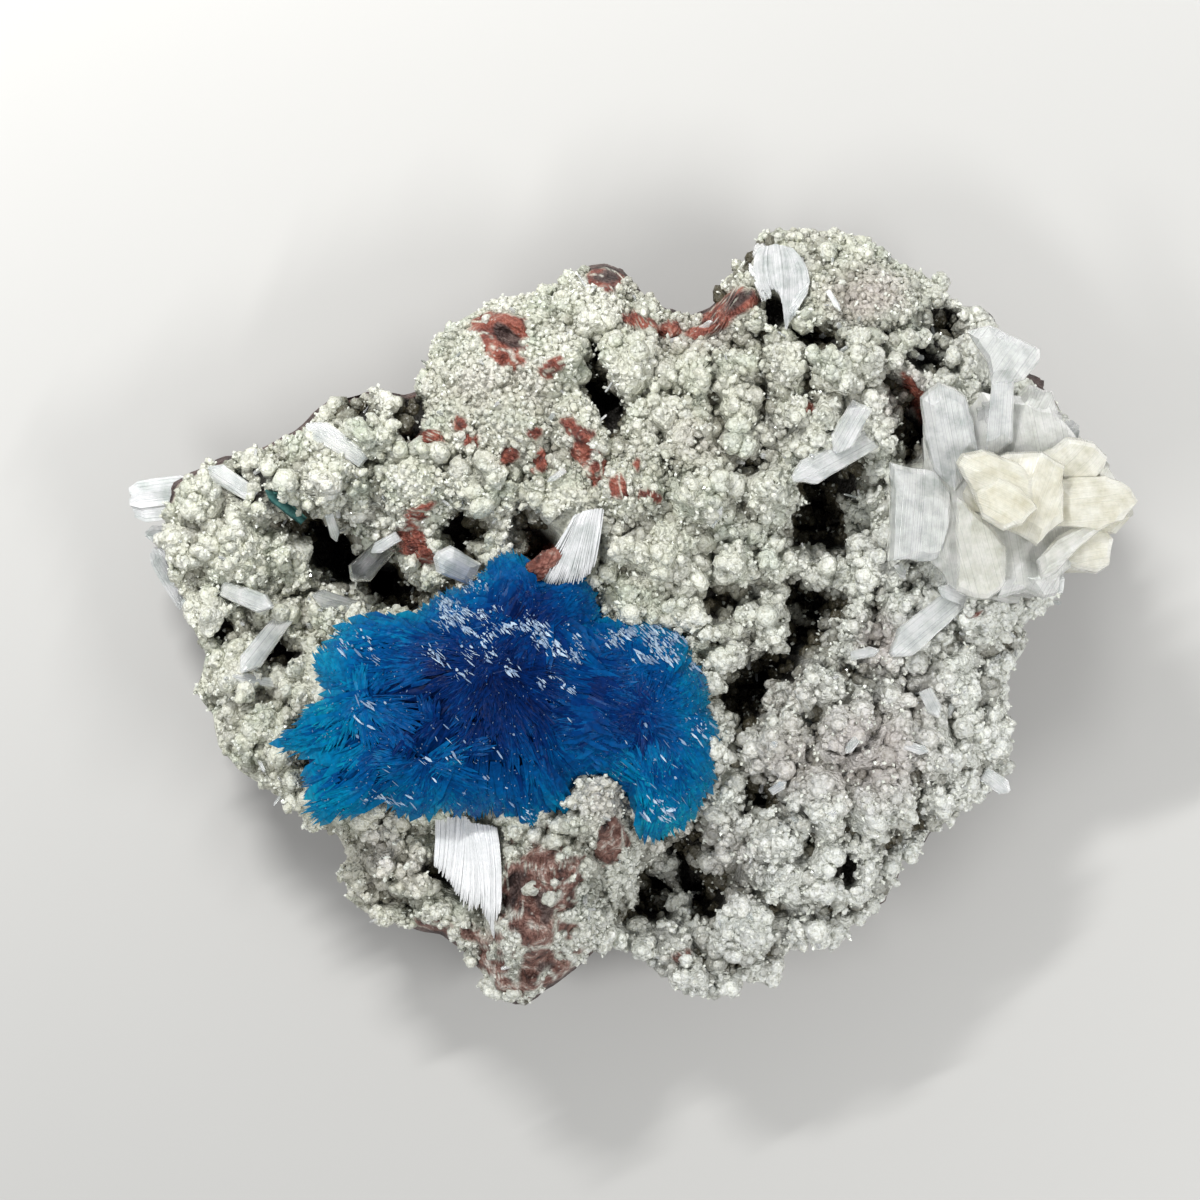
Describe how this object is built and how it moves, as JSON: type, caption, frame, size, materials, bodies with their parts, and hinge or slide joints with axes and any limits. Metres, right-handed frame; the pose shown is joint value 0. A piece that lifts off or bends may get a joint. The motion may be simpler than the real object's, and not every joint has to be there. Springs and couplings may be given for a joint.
{
  "type": "cavansite specimen",
  "caption": "Blue cavansite rosette with white stilbite crystals on crusted, vuggy basalt, laid on a flat back for display.",
  "frame": {"origin": "middle of the flat back, under the middle of the box round the specimen", "axes": "+Z out of the display face, with the specimen lying on its flat back; +X the face's right; +Y its top"},
  "size_m": [0.1338, 0.1034, 0.0495],
  "materials": {
    "crusted_basalt": "rough",
    "cavansite": "vitreous",
    "stilbite": "pearly, translucent"
  },
  "bodies": {
    "root": {"basalt_matrix": "crusted_basalt", "cavansite_rosette": "cavansite", "cavansite_small_fan": "cavansite", "stilbite_cluster": "stilbite", "stilbite_corner_sheaf": "stilbite", "stilbite_corner_block": "stilbite", "stilbite_corner_blade": "stilbite", "stilbite_rim_blade": "stilbite", "stilbite_ledge_blade": "stilbite", "stilbite_striated_blade": "stilbite", "stilbite_slanted_blade": "stilbite", "stilbite_needle": "stilbite", "stilbite_vug_blade": "stilbite", "stilbite_vug_tablet": "stilbite", "stilbite_pale_tablet": "stilbite", "stilbite_white_fan": "stilbite", "stilbite_top_plate": "stilbite", "stilbite_shelf_blade": "stilbite", "stilbite_lower_blade": "stilbite", "stilbite_white_plate": "stilbite", "stilbite_edge_block": "stilbite"}
  },
  "joints": []
}
